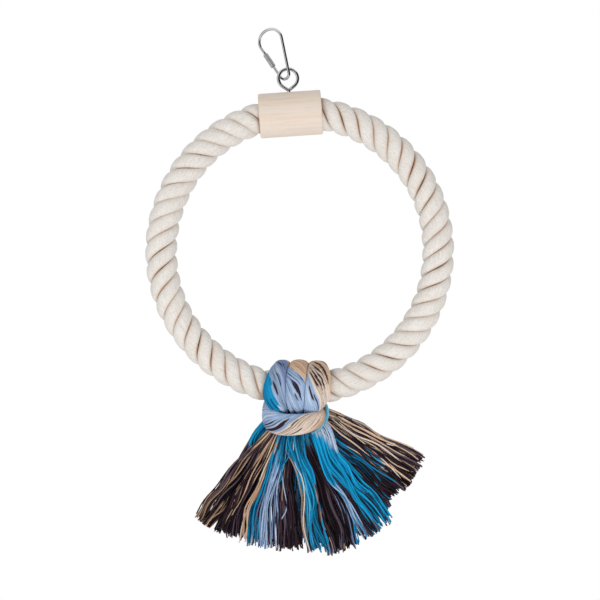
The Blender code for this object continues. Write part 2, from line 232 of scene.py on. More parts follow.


# light and shade mixed by fibres and nubs, clouded, then painted warm shade beside the grooves and painted
# brown shade in them
def makeCotton():
    look = cottonLook
    material, tree, shader = newMaterial("undyed cotton", 0.88)
    uv = add(tree, "UVMap").outputs[0]
    place = add(tree, "TexCoord").outputs["Object"]
    fibre = streaks(tree, uv, look["fibre"], 5, 0.72)
    nub = streaks(tree, place, look["nub"], 3, 0.7)
    cloud = streaks(tree, place, look["cloud"], 3)
    # how much painted brown shade and painted warm shade each point carries
    groove, slope = carried(tree, "groove", "Fac"), carried(tree, "slope", "Fac")
    woolly = sums(tree, "MULTIPLY", fibre, look["fibreShare"])
    woolly = sums(tree, "ADD", woolly, sums(tree, "MULTIPLY", nub, 1 - look["fibreShare"]))
    colour = mixed(tree, spread(tree, woolly, 0.38, 0.56), look["shade"], look["light"])
    colour = mixed(tree, spread(tree, cloud, 0.35, 0.7, 0, 0.3), colour, look["shade"])
    # painted warm shade beside the grooves, then painted brown shade in them
    warmShade = sums(tree, "MULTIPLY", slope, spread(tree, cloud, 0.3, 0.65, 0.15, 0.75))
    colour = mixed(tree, warmShade, colour, look["warm"])
    colour = mixed(tree, spread(tree, groove, 0.15, 1, 0, 0.95), colour, look["groove"])
    fill(tree, shader, {"Base Color": colour, "Sheen Weight": look["sheen"]})
    bumped(tree, shader, woolly, look["relief"], 0.9)
    return material


woodLook = dict(
    pale=(0.81, 0.705, 0.61, 1),
    warm=(0.79, 0.63, 0.45, 1),
    pink=(0.74, 0.6, 0.53, 1),
    rings=(5, 90, 420),  # the grain runs along X
    pores=(60, 1800, 1800),
    flecks=(70, 500, 900),
    seam=(0.3, 1.7, 0.4),  # which part of the grain shows
    relief=0.00006,
)


# pale wood, warm in the year rings and pink in the flecks and pores
def makeWood():
    look = woodLook
    material, tree, shader = newMaterial("bare pale wood", 0.62)
    place = add(tree, "TexCoord").outputs["Object"]
    rings = streaks(tree, place, look["rings"], 1, 0.5, look["seam"])
    pores = streaks(tree, place, look["pores"], 3, 0.6)
    flecks = streaks(tree, place, look["flecks"], 2, 0.5)
    colour = mixed(tree, spread(tree, rings, 0.52, 0.68, 0, 0.7), look["pale"], look["warm"])
    colour = mixed(tree, spread(tree, flecks, 0.52, 0.7, 0, 0.6), colour, look["pink"])
    colour = mixed(tree, spread(tree, pores, 0.35, 0.75, 0, 0.28), colour, look["pink"])
    rough = spread(tree, pores, 0.3, 0.7, 0.54, 0.7)
    fill(tree, shader, {"Base Color": colour, "Roughness": rough})
    bumped(tree, shader, pores, look["relief"], 0.6)
    return material


# metal whose roughness wears from 0.7 to 1.5 times its own
def makeNickel(name, roughness, colour, scratch):
    material, tree, shader = newMaterial(name, roughness, 1.0)
    wear = streaks(tree, add(tree, "TexCoord").outputs["Object"], scratch, 3)
    rough = spread(tree, wear, 0.3, 0.75, roughness * 0.7, roughness * 1.5)
    fill(tree, shader, {"Base Color": colour, "Roughness": rough})
    bumped(tree, shader, wear, 0.00001, 0.4)
    return material


yarnLook = dict(
    ply=0.0019,
    plies=2,
    nap=(2600, 2600, 2600),
    napShade=0.18,
    twistShade=0.3,
    black=(0.0, 0.0, 0.0, 1),
    specular=0.08,
    sheen=0.02,
    relief=0.0001,
)


# the yarn's own dye, darkened in its nap, with painted shade between plies: sin(2 pi * plies * (along / ply +
# round))
def makeYarn(name, plied):
    look = yarnLook
    material, tree, shader = newMaterial(name, 0.82)
    dye = carried(tree, "dye", "Color")
    uv = add(tree, "UVMap").outputs[0]
    place = add(tree, "TexCoord").outputs["Object"]
    nap = streaks(tree, place, look["nap"], 2, 0.6)
    colour = mixed(tree, spread(tree, nap, 0.3, 0.7, 0, look["napShade"]), dye, look["black"])
    height = nap
    if plied:
        parts = add(tree, "SeparateXYZ", Vector=uv)
        turn = sums(tree, "ADD", sums(tree, "DIVIDE", parts.outputs[1], look["ply"]), parts.outputs[0])
        wave = sums(tree, "SINE", sums(tree, "MULTIPLY", turn, 2 * pi * look["plies"]))
        twist = spread(tree, wave, -1, 1)
        dark = spread(tree, twist, 0, 0.45, look["twistShade"], 0)
        colour = mixed(tree, dark, colour, look["black"])
        height = sums(tree, "ADD", twist, sums(tree, "MULTIPLY", nap, 0.5))
    fill(tree, shader, {"Base Color": colour, "Sheen Weight": look["sheen"]})
    fill(tree, shader, {"Specular IOR Level": look["specular"]})
    bumped(tree, shader, height, look["relief"], 0.7)
    return material


cotton = makeCotton()
wood = makeWood()
nickel = makeNickel("polished nickel", 0.07, (0.6, 0.605, 0.625, 1), (300, 300, 300))
nickelDull = makeNickel("knurled nickel", 0.3, (0.5, 0.495, 0.5, 1), (900, 900, 900))
coreSteel = makeNickel("drawn steel", 0.4, (0.45, 0.45, 0.46, 1), (200, 200, 2000))
bundleYarn = makeYarn("laid yarn", False)
looseYarn = makeYarn("plied yarn", True)
print("materials made:", len(bpy.data.materials))


# a piece's name with underscores, as CAD nodes have it
def nodeName(name):
    return "".join("_" + letter.lower() if letter.isupper() else letter for letter in name)


# material, slot, which is not used, and the CAD nodes whose place the piece takes
def finishPiece(piece, material, slot, *nodes):
    piece.data.materials.append(material)
    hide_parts(*nodes)
    return piece


# Rope ring

ropeRing = dict(
    middle=np.array([0.01173, 0.0, -0.14335]),
    radius=0.09,
    lay=0.034,
    crown=0.0103,
    grooveDepth=0.0027,
    fullness=2.9,  # higher gives flatter strands and sharper grooves
    sector=radians(59.6),
    phase=radians(20),
    start=radians(6.4),
    stations=560,
    columns=33,
    inside=(0.0062, 0.0038, 0.002),
    mouth=0.0203,  # half the block's length, where the rope goes in
    # how far the painted shade reaches where the rope goes into the block
    mouthShade=0.0026,
    tie=3.2254,  # the knot's place, half width, reach of the painted shade where the rope meets it and reach of the painted darker grooves beside it, round the ring, in radians
    tieHalf=0.236,
    tieShade=0.045,
    tieGrooveShade=0.16,
    # how strong the painted brown shade is where the rope meets the block and the knot
    contactShade=0.66,
)


# a third of the rope: radius = crown - depth of the grooves * |share of sector| ^ fullness, turned about the
# ring's centre line once for each lay, with small waves in both. The two strengths carried by the mesh say how
# brown and how warm a point is: painted brown shade in the grooves and painted warm shade and bounce light
# beside them, both also where the rope meets the block and the knot
def ropeStrand(number):
    r = ropeRing
    share = np.sin(np.linspace(-pi / 2, pi / 2, r["columns"]))
    outer = r["crown"] - r["grooveDepth"] * np.abs(share) ** r["fullness"]
    inside = np.array(r["inside"])
    radius = np.concatenate([outer, inside, inside[::-1]])
    share = np.concatenate([share, np.ones(len(inside)), -np.ones(len(inside))])
    angle = np.linspace(r["start"], 2 * pi - r["start"], r["stations"])[:, None]
    laid = (angle - r["start"]) * r["radius"] / r["lay"]
    wander = 0.07 * np.sin(3 * angle + 1.0) + 0.05 * np.sin(8 * angle + 2 * number)
    around = r["phase"] + 2 * pi * (number / 3 + laid) + wander + share * r["sector"]
    swell = 1 + 0.01 * np.sin(11 * angle + 2.1 * number) + 0.006 * np.sin(29 * angle + 4 * number)
    radius = radius * swell
    out = r["radius"] + radius * np.cos(around)
    grid = np.stack([out * np.sin(angle), -radius * np.sin(around), out * np.cos(angle)], axis=-1)
    uv = np.stack([around * r["crown"], r["radius"] * angle + 0 * around], axis=-1)
    uv = np.concatenate([uv, uv[:, :1]], axis=1)
    # strength of the painted shade in the grooves: changes round the ring, lighter where the rope faces out or
    # in from the ring, darker where it faces front and back, and darker beside the knot
    deep = 0.84 + 0.3 * np.sin(2 * angle) + 0.1 * np.sin(angle)
    deep = deep + 0.14 * np.sin(13 * angle + 3 * number) * np.sin(5 * angle + 1.3)
    beside = np.abs(angle - r["tie"]) - r["tieHalf"]
    deep = deep * (0.3 + 0.7 * np.sin(around) ** 2) + 0.5 * (1 - ease(beside / r["tieGrooveShade"]))
    groove = np.minimum(np.abs(share) ** 8 * deep, 1.0)
    slope = np.abs(share) ** 6 * deep
    # painted shade where the rope goes into the block: lower side at the left end, upper side at the right end
    mouth = (1 - ease((np.abs(grid[..., 0]) - r["mouth"]) / r["mouthShade"])) * (np.cos(angle) > 0)
    mouth = mouth * (0.3 + 0.7 * ease(0.5 + np.sign(np.sin(angle)) * np.cos(around)))
    # painted shade where the rope meets the knot: outer side at the knot's left, inner side at its right
    tie = (1 - ease(beside / r["tieShade"])) * ease(0.4 + 0.8 * np.sign(angle - r["tie"]) * np.cos(around))
    contactShade = np.maximum(mouth, tie)
    groove, slope = np.maximum(groove, r["contactShade"] * contactShade), np.maximum(slope, contactShade)
    bars = (grid + r["middle"])[None]
    name = f"cottonStrand{number + 1}"
    strand = barMesh(name, bars, uv[None], groove=groove[..., None], slope=slope[..., None])
    finishPiece(strand, cotton, "cotton", f"rope_strand_{number + 1}")
    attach(strand, "ring")


for number in range(3):
    ropeStrand(number)
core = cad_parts["ring_core_wire"]
core.data.materials.clear()
core.data.materials.append(coreSteel)
print("rope laid")


# Wooden block, screw eye and wire link

block = dict(
    middle=np.array([0.01173, 0.0, -0.05432]),
    length=0.0406,
    radius=0.0144,
    web=0.012,
    socket=0.01217,
    edge=0.0011,
    sharp=radians(50),  # an edge that turns more than this isn't shaded smooth
    segments=112,
)
wireSides = 20


# profile from the bottom of one socket, out over the end, along the outside and into the other socket
def makeBlock():
    b = block
    end, radius, edge = b["length"] / 2, b["radius"], b["edge"]
    bow = np.linspace(0, pi / 2, 6)
    mouth = np.stack([-end + edge * (1 - np.sin(bow)), b["socket"] + edge * (1 - np.cos(bow))], axis=-1)
    rim = np.stack([-end + edge * (1 - np.cos(bow)), radius - edge * (1 - np.sin(bow))], axis=-1)
    floor = [(-b["web"] / 2, 0.0001), (-b["web"] / 2, b["socket"])]
    half = np.concatenate([floor, mouth, rim, [(-end * 0.6, radius), (-end * 0.2, radius)]])
    other = half[::-1] * (-1, 1)
    grid, uv = turned(np.concatenate([half, other]), b["segments"], False)
    piece = barMesh("woodBlock", grid + b["middle"], uv)
    finishPiece(piece, wood, "wood", "wood_block")
    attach(piece, "ring")
    piece.data.set_sharp_from_angle(angle=b["sharp"])


makeBlock()


# round wire of one thickness along a path
def makeWire(name, path, wire, reference, node):
    radii = np.full((1, len(path)), wire / 2)
    bars = roundBars(path[None], radii, wireSides, reference)
    return finishPiece(barMesh(name, bars, barUv(path[None], wireSides)), nickel, "nickel", node)


eye = dict(
    middle=np.array([0.01173, 0.0, -0.03112]),
    wire=0.0023,
    radius=0.00625,
    throat=0.0077,
    stand=0.0088,
    shank=0.014,
    gap=0.0011,  # from the end's middle to the shank's middle line
)


# shank up to the throat, straight left side, round over the top, straight right side back to the shank
def makeEye():
    e = eye
    side = acos(e["radius"] / e["throat"])
    loop = np.linspace(-pi / 2 - side, side - 2.5 * pi, 72)
    ring = np.stack([e["radius"] * np.cos(loop), 0 * loop, e["radius"] * np.sin(loop)], axis=-1)
    throat = np.array([0.0, 0.0, -e["throat"]])
    stop = throat + unit(ring[-1] - throat) * e["gap"]
    lean = through([throat - (0, 0, 0.0016), throat - (0, 0, 0.0003), throat * 0.93 + ring[0] * 0.07,
                    throat * 0.75 + ring[0] * 0.25], np.linspace(0, 1, 10))
    foot = np.array([[0.0, 0.0, -e["stand"] - e["shank"]], [0.0, 0.0, -e["stand"] - e["shank"] * 0.5]])
    path = np.concatenate([foot, lean, ring, [ring[-1] * 0.5 + stop * 0.5, stop]]) + e["middle"]
    piece = makeWire("screwEye", path, e["wire"], axisY, "screw_eye")
    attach(piece, "ring")


makeEye()

link = dict(
    wire=0.0019,
    span=0.0236,
    topRise=0.0073,
    bendDrop=0.0029,
    breadth=1.25,
    lean=radians(18.7),
    turn=radians(35.97),
    opening=0.0026,
    sleeveStart=0.0049,
    sleeveGrip=0.0012,
    sleeveLength=0.01,
    sleeveRadius=0.0017,
    sleeveEdge=0.0003,
    bore=0.00125,
    knurls=12,
    knurlPitch=0.00042,
    knurlDepth=0.00011,
    segments=120,
)
link["topMiddle"] = link["wire"] / 2 - link["topRise"]
link["bendMiddle"] = link["topMiddle"] - link["span"]
link["taper"] = asin((link["topRise"] - link["bendDrop"]) / link["span"])
linkTurn = np.array(Matrix.Rotation(-link["lean"], 3, "Y") @ Matrix.Rotation(-link["turn"], 3, "Z"))


# points on one bend of the link: a circle widened across the link
def linkBend(rise, middle, first, last, count):
    angle = np.linspace(first, last, count)
    return np.stack([link["breadth"] * rise * np.cos(angle), 0 * angle, middle + rise * np.sin(angle)], axis=-1)


# upper leg end, over the top bend, down the right leg, round the bottom bend and up to the lower leg end
def makeLink():
    k = link
    top = linkBend(k["topRise"], k["topMiddle"], pi + k["taper"], -k["taper"], 56)
    low = linkBend(k["bendDrop"], k["bendMiddle"], -k["taper"], k["taper"] - pi, 40)
    legRun = unit(low[-1] - top[0])
    upper = top[0] + legRun * (k["sleeveStart"] + k["sleeveGrip"])
    lower = top[0] + legRun * (k["sleeveStart"] + k["sleeveGrip"] + k["opening"])
    path = np.concatenate([[upper, upper * 0.5 + top[0] * 0.5], top, low, [lower * 0.5 + low[-1] * 0.5, lower]])
    path = path @ linkTurn.T
    piece = makeWire("linkWire", path, k["wire"], linkTurn[:, 1], "hook_wire")
    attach(piece, "hook")
    makeSleeve(top[0] + legRun * k["sleeveStart"], legRun)


# sleeve: outside crossed by two rows of grooves, |sin(knurls * angle +- x / pitch)|, bore plain, ends eased
def makeSleeve(start, run):
    k = link
    long, radius, edge = k["sleeveLength"], k["sleeveRadius"], k["sleeveEdge"]
    x = np.concatenate([[0.0, edge * 0.4], np.linspace(edge, long - edge, 64), [long - edge * 0.4, long]])
    outer = np.full(len(x), radius)
    outer[[0, -1]] -= edge
    outer[[1, -2]] -= edge * 0.3
    x = np.concatenate([x, [long, long / 2, 0.0]])
    profile = np.concatenate([outer, np.full(3, k["bore"])])
    grid, uv = turned(np.stack([x, profile], axis=-1), k["segments"], True)
    angle = k["knurls"] * 2 * pi * np.arange(k["segments"]) / k["segments"]
    rows = x[:, None] / k["knurlPitch"]
    cross = np.maximum(np.abs(np.sin(angle + rows)), np.abs(np.sin(angle - rows)))
    cut = k["knurlDepth"] * (1 - cross) * (profile[:, None] > radius - 0.00001)  # the straight outside alone
    grid[..., 1:] *= (1 - cut / profile[:, None])[None, :, :, None]
    axes = np.stack([run, axisY, np.cross(run, axisY)], axis=1)
    bars = (grid @ axes.T + start) @ linkTurn.T
    piece = barMesh("linkSleeve", bars, uv, closedAlong=True)
    finishPiece(piece, nickelDull, "nickel", "hook_sleeve")
    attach(piece, "sleeve")


makeLink()
print("block, eye and link made")


# Knot

dyes = dict(
    teal=(0.012, 0.275, 0.53),
    # lighter teal yarns, which also stand in for painted highlights on the teal locks
    cyan=(0.085, 0.46, 0.73),
    deepTeal=(0.008, 0.1, 0.2),
    lavender=(0.465, 0.62, 0.865),
    frost=(0.66, 0.76, 0.88),
    slate=(0.27, 0.36, 0.61),
    tan=(0.76, 0.54, 0.38),
    sand=(0.96, 0.8, 0.68),
    bronze=(0.48, 0.315, 0.21),
    umber=(0.038, 0.021, 0.03),
    ink=(0.009, 0.006, 0.008),
    # lighter grey-purple yarns, which also stand in for painted highlights on the dark locks
    smoke=(0.112, 0.078, 0.104),
    plum=(0.04, 0.02, 0.033),
    sky=(0.31, 0.76, 1.0),
    azure=(0.01, 0.41, 0.75),
)
brightest = 0.95  # no yarn is lighter than this in any colour
valleyShade = 0.48  # between two yarns of a bundle
knot = dict(middle=np.array([0.0042, 0.0, -0.23303]), turn=radians(4.8))


# from the knot's own frame, X along the rope, to the row frame
def fromKnot(points):
    c, s = cos(knot["turn"]), sin(knot["turn"])
    x, y, z = points[..., 0], points[..., 1], points[..., 2]
    return np.stack([x * c + z * s, y, z * c - x * s], axis=-1) + knot["middle"]


# colour of each yarn: the first band whose upper limit, in degrees round the bundle, lies above it
def bandDye(bands, degrees):
    limits = np.array([limit for limit, _ in bands])
    colours = np.array([dyes[name] for _, name in bands])
    return colours[np.searchsorted(limits, degrees)]


# middle line of a bundle through its points, with its direction, half width and half depth at each station
def bundleLine(look, stations):
    share = np.linspace(0, 1, stations)
    middle = through(np.array(look["line"]) * mm, share)
    width, depth = through(look["width"], share) * mm, through(look["depth"], share) * mm
    return middle, unit(np.gradient(middle, axis=0)), width, depth


# twisted bundle of yarns: point = middle + depth cos(b) outward + width sin(b) sideways, swollen by |sin|
# over each yarn, with b = column - twist * length - swirl. swirl: degrees, first millimetre and how many it
# takes. bands: the dye up to each degree round. flecks, slim lenses of another dye: degree, first and last
# millimetre, dye, half width in degrees, and degrees of lean for each millimetre
def laidBundle(name, middle, outward, sideways, width, depth, zero, look):
    yarns, steps = look["yarns"], 5
    columns = 2 * pi * np.arange(yarns * steps) / (yarns * steps) - pi
    length = lengthAlong(middle[None])[0]
    length = length - length[zero]
    grow = look.get("twistGrow", 0.0) * np.maximum(length, 0) ** 2
    extra, begin, takes = look.get("swirl", (0, 0, 1))
    swirl = radians(extra) * ease((length / mm - begin) / takes)
    b = columns - (look["twist"] * length + grow + swirl)[:, None]
    phase = (np.arange(yarns * steps) % steps) / steps
    lift = np.repeat(draw.uniform(-0.5, 0.5, yarns), steps) * np.sin(pi * phase)
    ridge = look["ridge"] * (np.sin(pi * phase) ** 0.7 - 0.6 + lift)
    full = look.get("fullness", 0.85)
    cosine, sine = (np.sign(wave) * np.abs(wave) ** full for wave in (np.cos(b), np.sin(b)))
    grid = middle[:, None] + ((depth[:, None] + ridge) * cosine)[..., None] * outward[:, None]
    grid = grid + ((width[:, None] + ridge) * sine)[..., None] * sideways[:, None]
    degrees = np.degrees(2 * pi * (np.arange(yarns) + 0.5) / yarns - pi)
    dye = np.repeat(bandDye(look["bands"], degrees)[None], len(middle), axis=0)
    for at, first, last, colour, wide, *lean in look.get("flecks", ()):
        askew = sum(lean) * (length[:, None] / mm - (first + last) / 2)
        aside = ((degrees - at - askew + 180) % 360 - 180) / wide
        half = (last - first) / 2 * np.sqrt(np.maximum(1 - aside**2, 0)) + draw.normal(0, 0.4, yarns)
        short = half - np.abs(length[:, None] / mm - (first + last) / 2)
        amount = (ease(short / 0.9 + 0.5) * (np.abs(aside) < 1) * draw.uniform(0.86, 1.0, yarns))[..., None]
        dye = dye * (1 - amount) + np.array(dyes[colour]) * amount
    slow = np.sin(length[:, None] * draw.uniform(300, 900, yarns) + draw.uniform(0, 6.0, yarns))
    group = np.repeat(draw.uniform(0.8, 1.16, yarns // 3 + 1), 3)[:yarns]
    bright = group * draw.uniform(0.76, 1.22, yarns) + 0.08 * slow
    dye = dye * np.minimum(bright, brightest / dye.max(axis=-1))[..., None]
    dye = np.repeat(dye, steps, axis=1)
    dye = dye * np.where(phase == 0, valleyShade, 1.0)[:, None]
    # painted shade down a turn's sides, where it meets the next turn
    for side, shade in zip((-1, 1), look.get("seamShade", ())):
        dye = dye * (1 - shade * ease((side * sine - 0.86) / 0.12))[..., None]
    uv = np.stack(np.broadcast_arrays(columns * look["reach"], length[:, None]), axis=-1)
    uv = np.concatenate([uv, uv[:, :1]], axis=1)
    return barMesh(name, fromKnot(grid)[None], uv[None], dye=dye[None])


# four edges of the three turns along the rope, in millimetres, at these angles round it: front is -90, top 0.
# path is how far out a turn's middle lies, crown how much its top stands out, seams how much shade is painted
# on its two sides where it meets the next turn
wrapAngles = np.radians((-152, -118, -90, -50, 0, 50, 90, 118, 152))
wrapEdges = np.array([
    (-16.0, -21.0, -21.6, -18.8, -14.8, -18.0, -20.0, -18.0, -13.0),
    (-5.0, -7.0, -7.7, -7.4, -5.0, -6.0, -6.5, -6.0, -4.0),
    (3.6, 4.2, 4.5, 5.8, 6.8, 5.5, 4.5, 4.2, 3.5),
    (13.0, 18.8, 20.6, 20.4, 18.2, 19.0, 20.0, 18.0, 13.0),
])
wrapPath = (14.6, 14.9, 14.95, 14.95, 14.95, 14.95, 14.95, 14.6, 12.6)
wrapDepth = (4.0, 4.4, 4.4, 4.4, 4.4, 4.4, 4.4, 4.3, 3.6)
wraps = dict(
    wrapLeft=dict(
        slot="blue_yarn", twist=54, crown=-0.8, seamShade=(0, 0.6),
        bands=[(-125, "umber"), (-116, "tan"), (-14, "teal"), (60, "lavender"), (160, "slate"),
               (181, "tan")],
        flecks=[(4, -2.8, 3.2, "plum", 4.6), (34, 1, 8.6, "plum", 4.6), (-9, 1, 6.5, "teal", 3.7),
                (82, 12, 18.5, "plum", 4), (98, 10, 17.5, "plum", 4), (66, -9, -2, "deepTeal", 6),
                (50, -14, -6, "teal", 8.7), (30, -19, -9, "teal", 8.7), (60, -12, -5, "plum", 4),
                (-20, -15, -9.5, "frost", 8), (-9, -13, -7, "frost", 5.4), (16, 3, 10, "slate", 3.4),
                (38, 2, 9, "slate", 3.4), (12, -10, -3, "slate", 3.4), (48, 5, 13, "frost", 4),
                (-60, -14, -5, "deepTeal", 4), (-34, -12, -5, "deepTeal", 4), (-80, -8, 3, "deepTeal", 4)],
    ),
    wrapMiddle=dict(
        slot="tan_yarn", twist=82, swirl=(40, 2, 12), crown=0.1, seamShade=(0.85, 0.85),
        bands=[(-150, "tan"), (-112, "umber"), (88, "lavender"), (181, "tan")],
        flecks=[(16, -5.2, 8, "plum", 10.1), (15, -3.6, 5.2, "plum", 4.7), (74, 3, 9, "plum", 3.4),
                (62, 5, 10.5, "slate", 3.4), (-131, 6, 34, "tan", 36), (38, 7, 11, "plum", 3.4),
                (-62, -16.5, -9, "plum", 4.7), (-76, -16.5, -11, "plum", 4), (-8, -5.5, -1, "plum", 3),
                (42, 3, 8.5, "plum", 2.6), (12, 4, 9.5, "slate", 3.4), (-30, -2, 5.5, "slate", 3.4),
                (-44, -9, -1, "frost", 5.4), (-16, -15, -7, "frost", 5.4), (128, 9, 15, "plum", 2.4),
                (40, -10, -3, "frost", 5.4)],
    ),
    wrapRight=dict(
        slot="tan_yarn", twist=64, crown=-1.3, seamShade=(0.85, 0),
        bands=[(-115, "umber"), (-7, "lavender"), (70, "sand"), (165, "tan"), (181, "umber")],
        flecks=[(-29, -6.6, 3, "plum", 4.6), (-19, -12.5, -1.6, "plum", 3.4), (10, -13, -7, "bronze", 3),
                (86, 3, 22, "plum", 7.4, 2.4), (57, 6.4, 16, "plum", 5, 0.8), (54, 3, 9, "bronze", 2.6),
                (41, 10, 15, "bronze", 3.6, -3), (22, -2.4, 13, "plum", 5.2, 1),
                (37.5, 0.8, 10.6, "plum", 4.2, 1), (8.5, 0.4, 11, "plum", 3), (71, 5, 17, "bronze", 3, 1.6),
                (30.2, -2, 12, "sand", 2.6, 1), (14.6, -2, 12, "tan", 2.6), (24, -12, -2, "sand", 10.7),
                (36, -14, -6, "bronze", 3), (-46, -8, 2, "frost", 5.4)],
    ),
)


# each turn follows a circle round the rope; its two edges along the rope are smooth curves in the angle
def makeWraps():
    share = np.linspace(0, 1, 96)
    angle = through(wrapAngles, share)
    outward = np.stack([0 * angle, np.sin(angle), np.cos(angle)], axis=-1)
    sideways = np.broadcast_to(axisX, outward.shape)
    zero = int(np.argmin(np.abs(angle + pi / 2)))
    shared = dict(yarns=84, twistGrow=2400.0, ridge=0.00026, reach=0.006)
    for number, (name, wrap) in enumerate(wraps.items()):
        left = through(wrapEdges[number], share) * mm
        right = through(wrapEdges[number + 1], share) * mm
        top = np.exp(-((angle / 0.9) ** 2)) * wrap["crown"]
        depth = (through(wrapDepth, share) + top / 2) * mm
        middle = (through(wrapPath, share) + top / 2)[:, None] * mm * outward
        middle[:, 0] = (left + right) / 2
        middle[:, 2] += ropeRing["radius"] - np.sqrt(ropeRing["radius"] ** 2 - middle[:, 0] ** 2)
        width = (right - left) / 2 * 1.06
        piece = laidBundle(name, middle, outward, sideways, width, depth, zero, {**shared, **wrap})
        finishPiece(piece, bundleYarn, wrap["slot"], "knot_" + nodeName(name))
        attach(piece, "ring")


makeWraps()

# middle line from left to right in millimetres, both ends behind the knot; its width is upright
band = dict(
    line=[(-13.5, 6.5, -11.5), (-19.4, 0, -14.6), (-16.6, -8.8, -19.2), (-10.3, -13.2, -21.7),
          (0.3, -15.3, -21.6), (9.8, -13.6, -19.6), (15, -8, -16.6), (14.4, -1.6, -13.8), (9.6, 2.6, -12.8),
          (4, 3.6, -13)],
    width=(5.2, 8.8, 7.6, 6.9, 6.6, 5.7, 4.6, 3.4, 2.4, 1.6),
    depth=(2.6, 3.2, 3.6, 3.7, 3.7, 3.6, 3.2, 2.4, 1.6, 1.2),
    yarns=80,
    twist=118,
    ridge=0.00026,
    reach=0.006,
    bands=[(-32, "lavender"), (100, "sand"), (160, "tan"), (181, "umber")],
    flecks=[(138, -60, -9, "lavender", 60), (-62, -20, -4, "plum", 12.4), (-61, -17, -6, "plum", 5.4),
            (-104, -24, -12, "plum", 4), (-88, -21, -9, "plum", 3.4), (-118, -24, -15, "slate", 4),
            (-42, -13, -2, "slate", 3.4), (-17, -11, 9, "plum", 3.4), (-2, -12, 6, "bronze", 3),
            (36, -5, 3, "plum", 5.4), (22, -13, -4, "plum", 3.7), (62, 3, 12, "bronze", 3),
            (86, 6, 16, "bronze", 3), (-76, -16, -5, "frost", 4), (12, 0, 13, "bronze", 3),
            (-150, -28, -12, "frost", 6.7), (48, -1, 12, "sand", 10.7), (-28, 4, 16, "sand", 9.4)],
)


# band: a flat twisted bundle along its middle line, its flat side turned away from the neck
def makeBand():
    middle, along, width, depth = bundleLine(band, 110)
    away = middle * (1.0, 1.0, 0.0)
    away = unit(away - along * np.sum(away * along, axis=-1, keepdims=True))
    zero = int(np.argmin(np.abs(middle[:, 0]) + (middle[:, 1] > 0)))
    piece = laidBundle("knotBand", middle, away, np.cross(along, away), width, depth, zero, band)
    finishPiece(piece, bundleYarn, "tan_yarn", "knot_band")
    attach(piece, "ring")


makeBand()

# one thin strand of the bundle that slips out round the band's right end
loop = dict(
    line=[(11, 4, -8), (17.3, -1.5, -8.8), (18.9, -4.4, -11.6), (19.2, -6.8, -15.6), (18.2, -9, -19.3),
          (15.9, -10.8, -22.9), (12.7, -11.8, -25.6), (9.5, -11, -27.3)],
    width=(0.9, 1, 1.2, 1.2, 1.1, 0.75, 0.4, 0.3),
    depth=(0.9, 1, 1.2, 1.2, 1.1, 0.75, 0.4, 0.3),
    yarns=12,
    twist=160,
    ridge=0.00022,
    reach=0.0012,
    fullness=1,
    bands=[(40, "sky"), (100, "cyan"), (181, "sky")],
)


# loop: a round twisted strand
def makeLoop():
    middle, along, width, depth = bundleLine(loop, 44)
    outward = unit(np.cross(np.cross(along, axisX), along))
    piece = laidBundle("knotLoop", middle, outward, np.cross(along, outward), width, depth, 22, loop)
    finishPiece(piece, bundleYarn, "teal_yarn")
    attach(piece, "ring")


makeLoop()

neck = dict(
    line=[(-1, 4, -11), (-1.4, 1, -18), (-1.8, 0, -25), (-1.6, -0.5, -33), (-1, -0.5, -40)],
    width=(9, 11.5, 11.8, 11.5, 9),
    depth=(5, 6.6, 6.4, 4.6, 2.4),
    yarns=60,
    twist=6,
    ridge=0.0005,
    reach=0.01,
    bands=[(-150, "umber"), (-110, "teal"), (-80, "umber"), (-40, "teal"), (-28, "umber"), (10, "teal"),
           (30, "umber"), (48, "tan"), (80, "umber"), (100, "teal"), (140, "umber"), (165, "lavender"),
           (181, "umber")],
)


# neck: the yarns gathered inside the band
def makeNeck():
    middle, along, width, depth = bundleLine(neck, 36)
    outward = unit(np.cross(along, axisX))
    piece = laidBundle("tasselNeck", middle, outward, np.cross(along, outward), width, depth, 12, neck)
    finishPiece(piece, bundleYarn, "teal_yarn", "tassel_neck")
    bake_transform(piece)


makeNeck()
print("knot tied")


# Tassel

tassel = dict(
    stations=21,
    sides=5,
    radius=0.00054,
    half=(1.8, 2.6, 3.2, 3.7, 4.0),  # half depth of a lock along its length, in millimetres
    reach=0.968,
    clump=5,  # yarns that stay together
    pull=0.16,  # how far they are drawn to their clump's middle
    # size, fewest and most waves along a yarn, lag across the lock
    waves=((0.00065, 2.0, 3.0, 2.4), (0.001, 0.7, 1.8, 0.0), (0.0005, 1.0, 3.2, 0.0)),
    pale=0.35,  # mean dye of a yarn that lies on top
    lift=0.0015,
)
